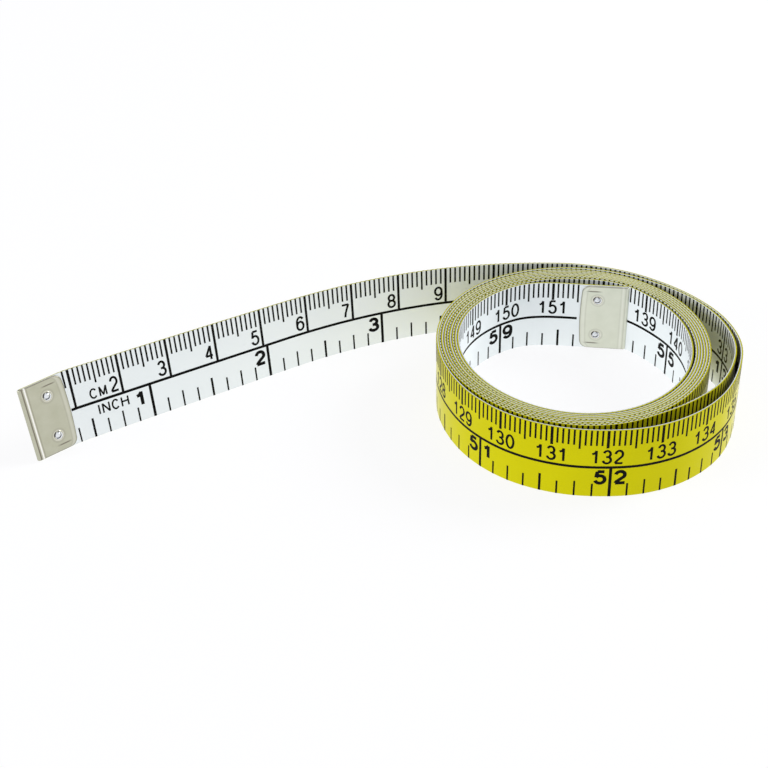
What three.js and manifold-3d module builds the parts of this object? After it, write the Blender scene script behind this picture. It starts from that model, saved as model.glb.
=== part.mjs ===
// Cloth tape measure, 60 inches long and printed on both faces, standing on edge on a table: a coil of
// nine turns, whose last turn hangs loose, and a lead that runs out to the metal start tag.
// Units are millimetres. The table is z = 0, X runs along the whole tape, and the lead points to -X.
import * as THREE from "three";
import { mergeVertices } from "three/addons/utils/BufferGeometryUtils.js";
import Module from "manifold-3d";

const wasm = await Module();
wasm.setup();
const rad = THREE.MathUtils.degToRad;

// The band: woven core between a white and a yellow coat, laminated into one strip
const bandWidth = 15;
const bandThickness = 0.4;

// The coil, seen from above. A bearing is a direction from the coil's axis, in degrees, counter-clockwise
// from +X. Going outward along the band, it grows by 360 a turn
const boreRadius = 20.62; // clear radius at the inner end
const layerGap = 0.42; // air between two turns
const endBearing = 57; // the inner end stops here, in turn 0
const stepAngle = 7.5;
const ovalHeight = 0.23; // the coil is pressed slightly oval
const cornerHeight = 0.34; // and slightly three-cornered
const lobes = [
  { count: 2, height: ovalHeight, bearing: -59 },
  { count: 3, height: cornerHeight, bearing: 37 },
];
const tagRideHeight = 0.5; // every turn rides over the end tag
const tagRideBearing = 60;
const tagRideHalfAngle = 22;
const innerSlackHeight = 1.65; // the two outer turns stand off on the right
const outerSlackHeight = 1.95;
const slacks = [
  { turn: 8, from: -68, peak: -2, to: 80, height: innerSlackHeight },
  { turn: 9, from: -135, peak: -2, to: 120, height: outerSlackHeight },
];

// The lead, from the coil's back to the start tag
const lastTurn = 9;
const leadFromBearing = 88;
const leadRun = 57.7; // along -X from the coil's back to the end of the bend, where the straight begins
const leadDrop = 13.3; // and along -Y
const leadBearing = 209; // the straight runs this way
const leadStraight = 54.6;
const leadHandleIn = 24.4; // how far the bend holds its first direction
const leadHandleOut = 21.8;
const leadLean = 14.5; // degrees that the band leans back at the start tag
const leanFadeLength = 90; // the lean has faded out this far from the tip
const leadLeanPower = 1.3;
const leadStep = 4;

// Where the band flexes: two places on the loose turn, by bearing, and four on the lead, from its tip
const frontFlexBearing = -100;
const rightFlexBearing = -5;
const lastFlexToTip = 28;
const flexSpacing = 24;
const leadFlexes = [3, 2, 1, 0].map((i) => lastFlexToTip + i * flexSpacing);
const flexGap = 0.7; // between two stretches of the band

// The tags: bright metal strip folded over the band's end, its free corners rounded
const tagLength = 8.6;
const tagShortfall = 0.3; // how much narrower than the band it is
const tagSheet = 0.2;
const tagClearance = 0.05; // between each leaf and the band
const tagCorner = 1.5;
const tagBow = 0.35; // how far its free edge bows out
const cornerSweep = 75; // degrees of each rounded corner, up to the bowed edge
const foldSwell = 0.08; // the fold stands proud of the leaves
const foldRoom = 0.12; // between the fold and the band's cut end
const straightPastTag = 1;
const foldBearing = 55.45; // bearing of the end tag's fold
const endTagOut = 0.46; // its distance outward of the bore radius
const endTagBearing = 170; // the band leaves the end tag this way
const joinBearing = 117; // and has joined the round of the coil here
const joinSteps = 6;

// The rivets through both leaves and the band
const rivetInset = 4.75; // from the fold
const rivetSpacing = 8.3;
const rivetHeadRadius = 0.92;
const rivetHeadRise = 0.34;
const rivetRimHeight = 0.1;
const rivetShankRadius = 0.5;
const rivetClearance = 0.06;
const roundSides = 20;
const domeSteps = 4;
const overrun = 1; // cutting tools reach this far past what they cut

const tagHeight = bandWidth - tagShortfall;
const tagHalf = bandThickness / 2 + tagClearance + tagSheet;
const slotHalf = bandThickness / 2 + tagClearance;
const foldRadius = tagHalf + foldSwell;
const bandInset = foldRadius + foldRoom; // from a tag's fold to the band's cut end
const layerPitch = bandThickness + layerGap;
const tape = new THREE.Group();

const coatedCloth = () =>
  new THREE.MeshStandardMaterial({ color: 0xe2e010, roughness: 0.45, metalness: 0 });
const nickelPlate = () =>
  new THREE.MeshStandardMaterial({ color: 0xc9c7b4, roughness: 0.35, metalness: 1 });
const brightSteel = () =>
  new THREE.MeshStandardMaterial({ color: 0xd8dadb, roughness: 0.2, metalness: 1 });

function add(name, geometry, material) {
  const mesh = new THREE.Mesh(geometry, material);
  mesh.name = name;
  tape.add(mesh);
  return mesh;
}

// Solids for cutting

function solidOf(geometry) {
  const bare = geometry.clone();
  bare.deleteAttribute("normal");
  bare.deleteAttribute("uv");
  const merged = mergeVertices(bare, bandThickness / 1e4);
  return new wasm.Manifold(new wasm.Mesh({
    numProp: 3,
    vertProperties: new Float32Array(merged.attributes.position.array),
    triVerts: new Uint32Array(merged.index.array),
  }));
}

function geometryOf(solid) {
  const { vertProperties, triVerts } = solid.getMesh();
  const geometry = new THREE.BufferGeometry();
  geometry.setAttribute("position", new THREE.BufferAttribute(vertProperties, 3));
  geometry.setIndex(new THREE.BufferAttribute(triVerts, 1));
  geometry.computeVertexNormals();
  return geometry;
}

// The band's route in plan. A station is a point at mid-height, the heading of the band towards the lead's
// tip, and its lean. The white face is on the left of the heading, towards the coil's axis

const windingAt = (bearing, turn) => bearing - endBearing + 360 * turn;

function roundness(bearing) {
  let sum = 0;
  for (const lobe of lobes) {
    sum += lobe.height * Math.cos(rad(lobe.count * (bearing - lobe.bearing)));
  }
  const off = THREE.MathUtils.euclideanModulo(bearing - tagRideBearing + 180, 360) - 180;
  if (Math.abs(off) < tagRideHalfAngle) {
    sum += tagRideHeight * Math.cos(rad(90 * off / tagRideHalfAngle)) ** 2;
  }
  return sum;
}

function slackAt(winding) {
  let sum = 0;
  for (const { turn, from, peak, to, height } of slacks) {
    const top = windingAt(peak, turn);
    const rise = THREE.MathUtils.smoothstep(winding, windingAt(from, turn), top);
    const fall = THREE.MathUtils.smoothstep(winding, top, windingAt(to, turn));
    sum += height * (rise - fall);
  }
  return sum;
}

function coilPoint(winding) {
  const bearing = endBearing + winding;
  const radius = boreRadius + bandThickness / 2 + layerPitch * winding / 360
    + roundness(bearing) + slackAt(winding);
  return new THREE.Vector3(radius * Math.cos(rad(bearing)), radius * Math.sin(rad(bearing)), 0);
}

function coilStation(winding) {
  const ahead = coilPoint(winding + stepAngle / 10).sub(coilPoint(winding - stepAngle / 10));
  return { point: coilPoint(winding), heading: ahead.normalize(), lean: 0 };
}

function coilStations(from, to) {
  const windings = [from];
  for (let w = Math.ceil(from / stepAngle) * stepAngle; w < to - stepAngle / 5; w += stepAngle) {
    if (w > from + stepAngle / 5) windings.push(w);
  }
  windings.push(to);
  return windings.map(coilStation);
}

const headingOf = (bearing) => new THREE.Vector3(Math.cos(rad(bearing)), Math.sin(rad(bearing)), 0);

// The inner end: straight inside the end tag, then bent to join the round of the coil
const endTip = headingOf(foldBearing).multiplyScalar(boreRadius + endTagOut);
const endHeading = headingOf(endTagBearing);
const endStraight = tagLength + straightPastTag;
const joinStation = coilStation(windingAt(joinBearing, 0));
const joinStart = endTip.clone().addScaledVector(endHeading, endStraight);
const joinHandle = joinStart.distanceTo(joinStation.point) / 3;
const joinCurve = new THREE.CubicBezierCurve3(
  joinStart,
  joinStart.clone().addScaledVector(endHeading, joinHandle),
  joinStation.point.clone().addScaledVector(joinStation.heading, -joinHandle),
  joinStation.point,
);

function endStations() {
  const stations = [bandInset, rivetInset + tagLength / 4].map((inset) => ({
    point: endTip.clone().addScaledVector(endHeading, inset),
    heading: endHeading,
    lean: 0,
  }));
  for (let i = 0; i < joinSteps; i++) {
    const share = i / joinSteps;
    stations.push({ point: joinCurve.getPointAt(share), heading: joinCurve.getTangentAt(share), lean: 0 });
  }
  return stations;
}

// The lead: a bend off the coil's back, then a straight whose top leans further back towards the tip
const leadStart = coilStation(windingAt(leadFromBearing, lastTurn));
const leadBend = leadStart.point.clone().add(new THREE.Vector3(-leadRun, -leadDrop, 0));
const leadHeading = headingOf(leadBearing);
const leadTip = leadBend.clone().addScaledVector(leadHeading, leadStraight);
const leadCurve = new THREE.CurvePath();
leadCurve.add(new THREE.CubicBezierCurve3(
  leadStart.point,
  leadStart.point.clone().addScaledVector(leadStart.heading, leadHandleIn),
  leadBend.clone().addScaledVector(leadHeading, -leadHandleOut),
  leadBend,
));
leadCurve.add(new THREE.LineCurve3(leadBend, leadTip));
const leadLength = leadCurve.getLength();

function leadStation(fromTip) {
  const share = 1 - fromTip / leadLength;
  const fade = 1 - Math.max(fromTip, tagLength) / leanFadeLength;
  return {
    point: leadCurve.getPoint(share),
    heading: fromTip < leadStraight ? leadHeading : leadCurve.getTangent(share),
    lean: leadLean * Math.max(fade, 0) ** leadLeanPower,
  };
}

function leadStations(from, to) {
  const steps = Math.ceil((from - to) / leadStep);
  return Array.from({ length: steps + 1 }, (_, i) => leadStation(from + (to - from) * i / steps));
}

// The frame of a section: its right-hand side is the yellow face, and up runs along the leaning band
function frameOf({ point, heading, lean }) {
  const right = new THREE.Vector3(heading.y, -heading.x, 0).normalize();
  const up = new THREE.Vector3(0, 0, Math.cos(rad(lean))).addScaledVector(right, Math.sin(rad(lean)));
  const foot = point.clone().addScaledVector(right, -bandWidth / 2 * Math.sin(rad(lean)));
  return { right, up, foot };
}

// A stretch of band: a section at each station, cut level at the foot so that it stands flat on the table
function bandGeometry(stations) {
  const vertices = [];
  for (const station of stations) {
    const { right, up, foot } = frameOf(station);
    const half = bandThickness / 2 / Math.cos(rad(station.lean));
    const corners = [[-1, 0], [1, 0], [1, bandWidth], [-1, bandWidth]];
    for (const [side, height] of corners) {
      vertices.push(foot.clone().addScaledVector(right, side * half).addScaledVector(up, height));
    }
  }
  const triangles = [];
  const last = (stations.length - 1) * 4;
  triangles.push(0, 1, 2, 0, 2, 3, last, last + 2, last + 1, last, last + 3, last + 2);
  for (let i = 0; i < stations.length - 1; i++) {
    for (let k = 0; k < 4; k++) {
      const a = i * 4 + k;
      const b = i * 4 + (k + 1) % 4;
      triangles.push(a, a + 4, b, b, a + 4, b + 4);
    }
  }
  const geometry = new THREE.BufferGeometry();
  const positions = vertices.flatMap((v) => v.toArray());
  geometry.setAttribute("position", new THREE.Float32BufferAttribute(positions, 3));
  geometry.setIndex(triangles);
  geometry.computeVertexNormals();
  return geometry;
}

// A tag's frame: x runs from the fold into the band, z up the band, and the foot clears the table
function tagFrame(tip, into, lean, right) {
  const up = new THREE.Vector3(0, 0, Math.cos(rad(lean))).addScaledVector(right, Math.sin(rad(lean)));
  const foot = tip.clone().addScaledVector(right, -bandWidth / 2 * Math.sin(rad(lean)));
  foot.addScaledVector(up, foldRadius * Math.tan(rad(lean)));
  const across = new THREE.Vector3().crossVectors(up, into);
  return new THREE.Matrix4().makeBasis(into, across, up).setPosition(foot);
}

// The folded strip: its section in plan, cut by its outline with the rounded free corners
function tagSolid() {
  const section = new THREE.Shape();
  section.moveTo(tagLength, slotHalf);
  section.lineTo(tagLength, tagHalf);
  section.lineTo(2 * foldRadius, tagHalf);
  section.lineTo(foldRadius, foldRadius);
  section.absarc(foldRadius, 0, foldRadius, Math.PI / 2, Math.PI * 3 / 2, false);
  section.lineTo(2 * foldRadius, -tagHalf);
  section.lineTo(tagLength, -tagHalf);
  section.lineTo(tagLength, -slotHalf);
  section.lineTo(foldRadius, -slotHalf);
  section.lineTo(foldRadius, slotHalf);
  const folded = new THREE.ExtrudeGeometry(section, {
    depth: tagHeight,
    bevelEnabled: false,
    curveSegments: 8,
  });

  const outline = new THREE.Shape();
  const cornerX = tagLength - tagBow - tagCorner;
  outline.moveTo(-overrun, 0);
  outline.lineTo(cornerX, 0);
  outline.absarc(cornerX, tagCorner, tagCorner, -Math.PI / 2, rad(cornerSweep) - Math.PI / 2, false);
  const endX = cornerX + tagCorner * Math.sin(rad(cornerSweep));
  const endZ = tagCorner - tagCorner * Math.cos(rad(cornerSweep));
  outline.quadraticCurveTo(2 * tagLength - endX, tagHeight / 2, endX, tagHeight - endZ);
  outline.absarc(
    cornerX, tagHeight - tagCorner, tagCorner, Math.PI / 2 - rad(cornerSweep), Math.PI / 2, false);
  outline.lineTo(-overrun, tagHeight);
  const blank = new THREE.ExtrudeGeometry(outline, {
    depth: 2 * foldRadius + 2 * overrun,
    bevelEnabled: false,
    curveSegments: 6,
  });
  blank.rotateX(Math.PI / 2);
  blank.translate(0, foldRadius + overrun, 0);
  return solidOf(folded).intersect(solidOf(blank));
}

const rivetHeights = [tagHeight / 2 + rivetSpacing / 2, tagHeight / 2 - rivetSpacing / 2];

function drill(height) {
  const depth = 2 * foldRadius + 2 * overrun;
  const drillGeometry = new THREE.CylinderGeometry(
    rivetShankRadius + rivetClearance, rivetShankRadius + rivetClearance, depth, roundSides);
  drillGeometry.translate(rivetInset, 0, height);
  return drillGeometry;
}

// A rivet set from both sides: a shank and two low domed heads that seat on the leaves
function rivetGeometry(height) {
  const seat = tagHalf + rivetClearance;
  const profile = [[rivetShankRadius, 0], [rivetShankRadius, seat], [rivetHeadRadius, seat]];
  for (let i = 0; i <= domeSteps; i++) {
    const angle = Math.PI / 2 * i / domeSteps;
    const rise = (rivetHeadRise - rivetRimHeight) * Math.sin(angle);
    profile.push([rivetHeadRadius * Math.cos(angle), seat + rivetRimHeight + rise]);
  }
  profile[profile.length - 1][0] = 0;
  const mirrored = profile.slice(1).map(([r, y]) => [r, -y]).reverse();
  const points = [...mirrored, ...profile.slice(1)].map(([r, y]) => new THREE.Vector2(r, y));
  const geometry = new THREE.LatheGeometry(points, roundSides);
  geometry.translate(rivetInset, 0, height);
  return geometry;
}

function addTag(name, frame) {
  let tag = tagSolid();
  for (const height of rivetHeights) {
    tag = tag.subtract(solidOf(drill(height)));
  }
  add(`${name}_tag`, geometryOf(tag).applyMatrix4(frame), nickelPlate());
  ["upper", "lower"].forEach((place, i) => {
    add(`${name}_tag_rivet_${place}`, rivetGeometry(rivetHeights[i]).applyMatrix4(frame), brightSteel());
  });
}

function drilled(geometry, frame) {
  let solid = solidOf(geometry);
  for (const height of rivetHeights) {
    solid = solid.subtract(solidOf(drill(height).applyMatrix4(frame)));
  }
  return geometryOf(solid);
}

const tipStation = leadStation(0);
const tipFrame = tagFrame(leadTip, leadHeading.clone().negate(), tipStation.lean, frameOf(tipStation).right);
const endFrame = tagFrame(endTip, endHeading, 0, new THREE.Vector3(endHeading.y, -endHeading.x, 0));

// The flex places: a point on the band's middle for each, from the coil outward
const frontFlex = windingAt(frontFlexBearing, lastTurn);
const rightFlex = windingAt(rightFlexBearing, lastTurn);
const halfGapAngle = (winding) => THREE.MathUtils.radToDeg(flexGap / 2 / coilPoint(winding).length());

// The coil and its loose last turn
const woundStations = [
  ...endStations(),
  ...coilStations(windingAt(joinBearing, 0), frontFlex - halfGapAngle(frontFlex)),
];
add("wound_turns", drilled(bandGeometry(woundStations), endFrame), coatedCloth());
add("loose_turn_front", bandGeometry(coilStations(
  frontFlex + halfGapAngle(frontFlex), rightFlex - halfGapAngle(rightFlex))), coatedCloth());
add("loose_turn_back", bandGeometry([
  ...coilStations(rightFlex + halfGapAngle(rightFlex), windingAt(leadFromBearing, lastTurn)).slice(0, -1),
  ...leadStations(leadLength, leadFlexes[0] + flexGap / 2),
]), coatedCloth());

// The lead, in four stretches
const leadNames = ["lead_root", "lead_inner", "lead_outer"];
leadNames.forEach((name, i) => {
  const stations = leadStations(leadFlexes[i] - flexGap / 2, leadFlexes[i + 1] + flexGap / 2);
  add(name, bandGeometry(stations), coatedCloth());
});
const tipStations = leadStations(leadFlexes[leadNames.length] - flexGap / 2, bandInset);
add("lead_tip", drilled(bandGeometry(tipStations), tipFrame), coatedCloth());

addTag("start", tipFrame);
addTag("end", endFrame);

// The origin is on the table, in the middle of the tape's box
const box = new THREE.Box3().setFromObject(tape);
const middle = box.getCenter(new THREE.Vector3());
tape.position.set(-middle.x, -middle.y, -box.min.z);

// The clear gap between turns, measured from each station to the stretches a turn or more away
function leastGap(stations) {
  const points = stations.map((s) => s.point);
  const nearest = new THREE.Vector3();
  const stepsPerTurn = 360 / stepAngle;
  let least = Infinity;
  for (let i = 0; i < points.length; i++) {
    for (let j = i + stepsPerTurn / 2; j < points.length - 1; j++) {
      const stretch = new THREE.Line3(points[j], points[j + 1]);
      stretch.closestPointToPoint(points[i], true, nearest);
      least = Math.min(least, nearest.distanceTo(points[i]));
    }
  }
  return least - bandThickness;
}

const lengthOf = (stations) => stations.slice(1).reduce(
  (sum, s, i) => sum + s.point.distanceTo(stations[i].point), 0);
const looseStations = coilStations(frontFlex, windingAt(leadFromBearing, lastTurn));
const allWound = [...woundStations, ...looseStations];
console.log("least gap between turns", leastGap(allWound).toFixed(3));
console.log("band length", (lengthOf(allWound) + leadLength + bandInset).toFixed(1));
const flexPoints = [
  coilPoint(frontFlex),
  coilPoint(rightFlex),
  ...leadFlexes.map((fromTip) => leadStation(fromTip).point),
];
const placed = (point) => point.clone().add(tape.position).toArray().map((v) => v.toFixed(3)).join(" ");
for (const point of flexPoints) {
  console.log("flex at", placed(point));
}
const restStation = Math.round(woundStations.length / 2);
const restChord = [woundStations[restStation].point, woundStations[restStation + 1].point];
console.log("rests at", placed(restChord[0].clone().lerp(restChord[1], 1 / 2)));
console.log("coil's axis at", placed(new THREE.Vector3()));

export default tape;
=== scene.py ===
import bpy
import numpy as np
from mathutils import Matrix, Vector


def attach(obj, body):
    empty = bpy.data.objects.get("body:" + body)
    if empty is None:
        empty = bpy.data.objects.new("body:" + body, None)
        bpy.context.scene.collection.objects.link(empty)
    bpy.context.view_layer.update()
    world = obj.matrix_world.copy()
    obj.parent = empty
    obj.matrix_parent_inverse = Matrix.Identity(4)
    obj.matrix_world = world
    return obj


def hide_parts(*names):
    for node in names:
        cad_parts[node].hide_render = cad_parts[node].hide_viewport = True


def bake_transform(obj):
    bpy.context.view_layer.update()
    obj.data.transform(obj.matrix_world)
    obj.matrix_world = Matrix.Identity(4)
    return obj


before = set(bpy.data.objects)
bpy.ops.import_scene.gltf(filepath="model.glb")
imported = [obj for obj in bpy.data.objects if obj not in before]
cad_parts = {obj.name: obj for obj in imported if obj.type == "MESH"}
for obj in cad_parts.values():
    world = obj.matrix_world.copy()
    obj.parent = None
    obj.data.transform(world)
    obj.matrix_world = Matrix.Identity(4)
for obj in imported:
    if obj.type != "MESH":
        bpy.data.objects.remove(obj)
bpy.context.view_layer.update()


# Camera
# It stands about 30 cm in front of the tape and looks down on it, far enough away for the coil's far
# side to look only a little smaller than its near side. The slight roll is the photograph's own.
CAMERA_AT = (0.001192, -0.252779, 0.190057)
CAMERA_DOWN = np.radians(36.007)
CAMERA_ROLL = np.radians(-1.412)
HALF_FRAME_PIXELS = 384
LENS_PIXELS = 1615.5

ahead = np.array([0, np.cos(CAMERA_DOWN), -np.sin(CAMERA_DOWN)])
level = np.array([1, 0, 0])
above = np.cross(level, ahead)
right = level * np.cos(CAMERA_ROLL) + above * np.sin(CAMERA_ROLL)
top = above * np.cos(CAMERA_ROLL) - level * np.sin(CAMERA_ROLL)
camera = bpy.data.objects.new("camera", bpy.data.cameras.new("camera"))
camera.data.sensor_fit = "HORIZONTAL"
camera.data.angle = 2 * np.arctan(HALF_FRAME_PIXELS / LENS_PIXELS)
camera.data.clip_start = 0.01
camera.matrix_world = Matrix.Translation(CAMERA_AT) @ Matrix(np.stack([right, top, -ahead], 1)).to_4x4()
bpy.context.scene.collection.objects.link(camera)
bpy.context.scene.camera = camera


# The band
# One strip of woven cloth, 60 inches by 15 mm, with its white face inside the coil and its yellow one
# outside. It stands on its edge: nine turns, the outer two partly loose, then a lead that leaves in a
# long bend and leans back towards its straight end. Lengths are in mm and bearings in degrees.
MM = 0.001
BAND_LENGTH = 1524
BAND_WIDTH = 15
BAND_HALF = 0.2
BAND_FROM = 0.75

COIL_AXIS = np.array([37.683, 0.247])
COIL_TURNS = 9
LEAD_BEARING = 88.17
INNER_BEARING = 57
INNER_CUT = 60
BORE_RADIUS = 22.275
BORE_OVAL = (0.424, -57.42)
BORE_THREE_SIDED = (0.232, 38.21)
TURN_PITCH = 0.51
TURN_PITCH_BACK = 0.025
PITCH_FROM = 210
TAG_RIDE = 0.65
TAG_RIDE_BEARING = 60
TAG_RIDE_HALF = 26
TAG_RIDE_BEGINS = (300, 360)
TAG_RIDE_FADES = (400, 2800)
SLIP = 0.3
SLIP_BEARING = 10
SLIP_BEGINS = (460, 580)

TIP_TURN = 10
TIP_TURN_AT = (7.9, 11.3)
LEAD_STRAIGHT = 54.45
LEAD_BEND = np.array([-56.717, 15.035])
LEAD_HEADING = 208.748
LEAD_HANDLE = 19.652
COIL_HEADING = 174.433
COIL_HANDLE = 21.39

START_TAG_LENGTH = 8.7
END_TAG_LENGTH = 9.25
END_TAG_FOLD = np.array([12.737, 18.794])
END_TAG_HEADING = 171.475
END_TAG_STRAIGHT = 0.45

LEAN = np.radians(15.575)
LEAN_REACH = 104.92
LEAN_POWER = 1.101
LEAN_CLEAR = 0.42  # a little over half a tag's thickness, so that no leaning foot sinks into the table
COURSE_REACH = 0.6

# Degrees from where the lead leaves, and how far in mm the loose turns stand off the tight coil there.
LOOSE_TURNS = [
    (0, 1.36), (12, 1.03), (26, 1.01), (40, 1.24), (59, 2.45), (76, 4.0), (92, 4.85), (106, 4.6),
    (122, 4.3), (140, 3.36), (158, 2.12), (173, 1.11), (190, 0.72), (214, 0.66), (232, 0.46), (250, 0.09),
    (275, -0.1), (320, 0.19), (360, 0.24), (385, 0.45), (400, 0.98), (420, 2.5), (440, 3.9), (453, 4.3),
    (464, 3.85), (478, 2.9), (489, 1.68), (499, 0.72), (509, 0.05), (523, 0), (540, 0), (720, 0),
]


def heading(bearing):
    angle = np.radians(bearing)
    return np.stack([np.cos(angle), np.sin(angle)], -1)


def rising(at, between):
    """From 0 at the first of two places to 1 at the second."""
    return np.clip((at - between[0]) / (between[1] - between[0]), 0, 1)


def eased(share):
    share = np.clip(share, 0, 1)
    return share * share * (3 - 2 * share)


def smooth_through(points, at):
    """A smooth line through (place, value) points, which doesn't swing past them."""
    known, value = np.array(points, float).T
    step = np.diff(known)
    slope = np.diff(value) / step
    between = (slope[:-1] * step[1:] + slope[1:] * step[:-1]) / (step[1:] + step[:-1])
    tangent = np.concatenate([slope[:1], between, slope[-1:]])
    i = np.clip(np.searchsorted(known, at) - 1, 0, len(step) - 1)
    t = np.clip((at - known[i]) / step[i], 0, 1)
    rise = t * t * (3 - 2 * t)
    leave = t * (1 - t) ** 2
    arrive = t * t * (t - 1)
    swing = step[i] * (leave * tangent[i] + arrive * tangent[i + 1])
    return value[i] + rise * (value[i + 1] - value[i]) + swing


def bend_between(start, start_handle, end_handle, end, count):
    """Points on one smooth bend with a handle at each end."""
    t = np.linspace(0, 1, count)[:, None]
    near = (1 - t) ** 3 * start + 3 * (1 - t) ** 2 * t * start_handle
    return near + 3 * (1 - t) * t * t * end_handle + t ** 3 * end


def coil_line():
    """The coil's turns, clockwise from where the lead leaves it, in mm about its axis."""
    sweep = COIL_TURNS * 360 + LEAD_BEARING - INNER_BEARING
    swept = np.arange(0, sweep - INNER_CUT, 1.0)
    bearing = LEAD_BEARING - swept
    left = sweep - swept
    tight = BORE_RADIUS
    for sides, (depth, wide_at) in ((2, BORE_OVAL), (3, BORE_THREE_SIDED)):
        tight = tight + depth * np.cos(np.radians(sides * (bearing - wide_at)))
    pitch = TURN_PITCH + TURN_PITCH_BACK * np.cos(np.radians(bearing - 90))
    tight = tight + pitch * (left - PITCH_FROM) / 360
    # Each turn rides over the end tag inside it, less and less from turn to turn.
    from_tag = (bearing - TAG_RIDE_BEARING + 180) % 360 - 180
    over_tag = np.cos(np.radians(90 * np.clip(from_tag / TAG_RIDE_HALF, -1, 1))) ** 2
    over_tag = TAG_RIDE * over_tag * rising(left, TAG_RIDE_BEGINS) * (1 - rising(left, TAG_RIDE_FADES))
    # The innermost turn has slipped inwards at the right and leaves a thin dark gap behind it.
    towards_slip = 0.5 + 0.5 * np.cos(np.radians(bearing - SLIP_BEARING))
    slipped = SLIP * eased(rising(left, SLIP_BEGINS)) * towards_slip ** 2
    loose = smooth_through(LOOSE_TURNS, np.minimum(swept, LOOSE_TURNS[-1][0]))
    radius = tight + over_tag + slipped + loose
    return radius[:, None] * heading(bearing), bearing[-1]


def band_line():
    """The whole band's middle line from the start tag's fold to the end tag's, in mm in plan."""
    turns, last_bearing = coil_line()
    # The clasped tip has set at a slight angle to the rest, turned towards the front.
    from_start = np.linspace(0, LEAD_STRAIGHT, 400)[:-1]
    turned = TIP_TURN * (1 - rising(from_start, TIP_TURN_AT))
    step = np.diff(from_start)[:, None] * heading(LEAD_HEADING + turned[:-1])
    straight = np.vstack([[0, 0], -np.cumsum(step, axis=0)])
    last_step = (LEAD_STRAIGHT - from_start[-1]) * heading(LEAD_HEADING)
    straight = straight - straight[-1] + LEAD_BEND + last_step
    bend = bend_between(
        LEAD_BEND, LEAD_BEND - LEAD_HANDLE * heading(LEAD_HEADING),
        turns[0] + COIL_HANDLE * heading(COIL_HEADING), turns[0], 400,
    )
    in_tag = END_TAG_FOLD + (END_TAG_LENGTH + END_TAG_STRAIGHT) * heading(END_TAG_HEADING)
    handle = np.hypot(*(turns[-1] - in_tag)) / 3
    run_in = bend_between(
        turns[-1], turns[-1] + handle * heading(last_bearing - 90),
        in_tag + handle * heading(END_TAG_HEADING), in_tag, 100,
    )
    flat = in_tag + (END_TAG_FOLD - in_tag) * np.linspace(0, 1, 30)[1:, None]
    return np.vstack([straight, bend, turns[1:], run_in[1:], flat]) + COIL_AXIS


line = band_line()
line_at = np.concatenate([[0], np.cumsum(np.hypot(*np.diff(line, axis=0).T))])
band_end = line_at[-1]


def on_line(along):
    return np.stack([np.interp(along, line_at, line[:, 0]), np.interp(along, line_at, line[:, 1])], -1)


def place(along, out, up):
    """Points in metres from mm along the band, out from its middle to the yellow face, and up it."""
    along, out, up = (np.asarray(x, float) for x in np.broadcast_arrays(along, out, up))
    course = on_line(along + COURSE_REACH) - on_line(along - COURSE_REACH)
    course = course / np.linalg.norm(course, axis=-1, keepdims=True)
    outward = np.stack([-course[..., 1], course[..., 0]], -1)
    lean = LEAN * np.clip(1 - np.maximum(along, START_TAG_LENGTH) / LEAN_REACH, 0, None) ** LEAN_POWER
    past = np.maximum(along - band_end, 0) + np.minimum(along, 0)
    across = out * np.cos(lean) + (up - BAND_WIDTH / 2) * np.sin(lean)
    plan = on_line(along) + course * past[..., None] + outward * across[..., None]
    height = up * np.cos(lean) + (LEAN_CLEAR - out) * np.sin(lean)
    return np.concatenate([plan, height[..., None]], -1) * MM


# Cloth
# Fine polyester weave under a smooth coat, white on one face and yellow on the other, slit to width so
# that coats and cloth show as three thin lines along both edges. Made as seven lengths end to end.
WHITE_COAT_DEPTH = 0.14
YELLOW_COAT_DEPTH = 0.18
COIL_STATION = 1.0
FLEX_STATION = 0.4
WHITE_COAT = ("#e6ecf0", "#edf2f5")
YELLOW_COAT = ("#c2bc00", "#ccc600")
BARE_CLOTH = ("#96983a", "#cfd17c")
THREAD_SPACING = 0.5  # coarser than the real threads, which are too fine to show
WEAVE_DEPTH = 0.006
WAVE_STEP = 0.314  # from crest to crest in a wave texture of scale 1
WHITE, YELLOW, BARE = 0, 1, 2

# Name, where it starts and ends, its bodies towards the start and the end tag, and where it flexes.
LENGTHS = [
    ("lead_tip", BAND_FROM, 40, "lead_tip", "lead_outer", 20, 36),
    ("lead_outer", 40, 64, "lead_outer", "lead_inner", 44, 60),
    ("lead_inner", 64, 88, "lead_inner", "lead_root", 68, 84),
    ("lead_root", 88, 131, "lead_root", "loose_back", 92, 108),
    ("loose_turn_back", 131, 187, "loose_back", "loose_front", 150, 174),
    ("loose_turn_front", 187, 240, "loose_front", "coil", 202, 222),
    ("wound_turns", 240, band_end, "coil", None, None, None),
]


def linear(hex_colour):
    """A node colour from an sRGB hex value."""
    parts = [int(hex_colour[i:i + 2], 16) / 255 for i in (1, 3, 5)]
    return [*(c / 12.92 if c <= 0.04045 else ((c + 0.055) / 1.055) ** 2.4 for c in parts), 1]


def add(tree, kind, inputs=None, **settings):
    """Adds a node; an input that is given a socket is linked to it."""
    node = tree.nodes.new(kind)
    for name, value in settings.items():
        setattr(node, name, value)
    for name, value in (inputs or {}).items():
        if isinstance(value, bpy.types.NodeSocket):
            tree.links.new(value, node.inputs[name])
        else:
            node.inputs[name].default_value = value
    return node


def blank_material(name):
    """A material without nodes, and its node tree."""
    material = bpy.data.materials.new(name)
    material.use_nodes = True
    material.node_tree.nodes.clear()
    return material, material.node_tree


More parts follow.
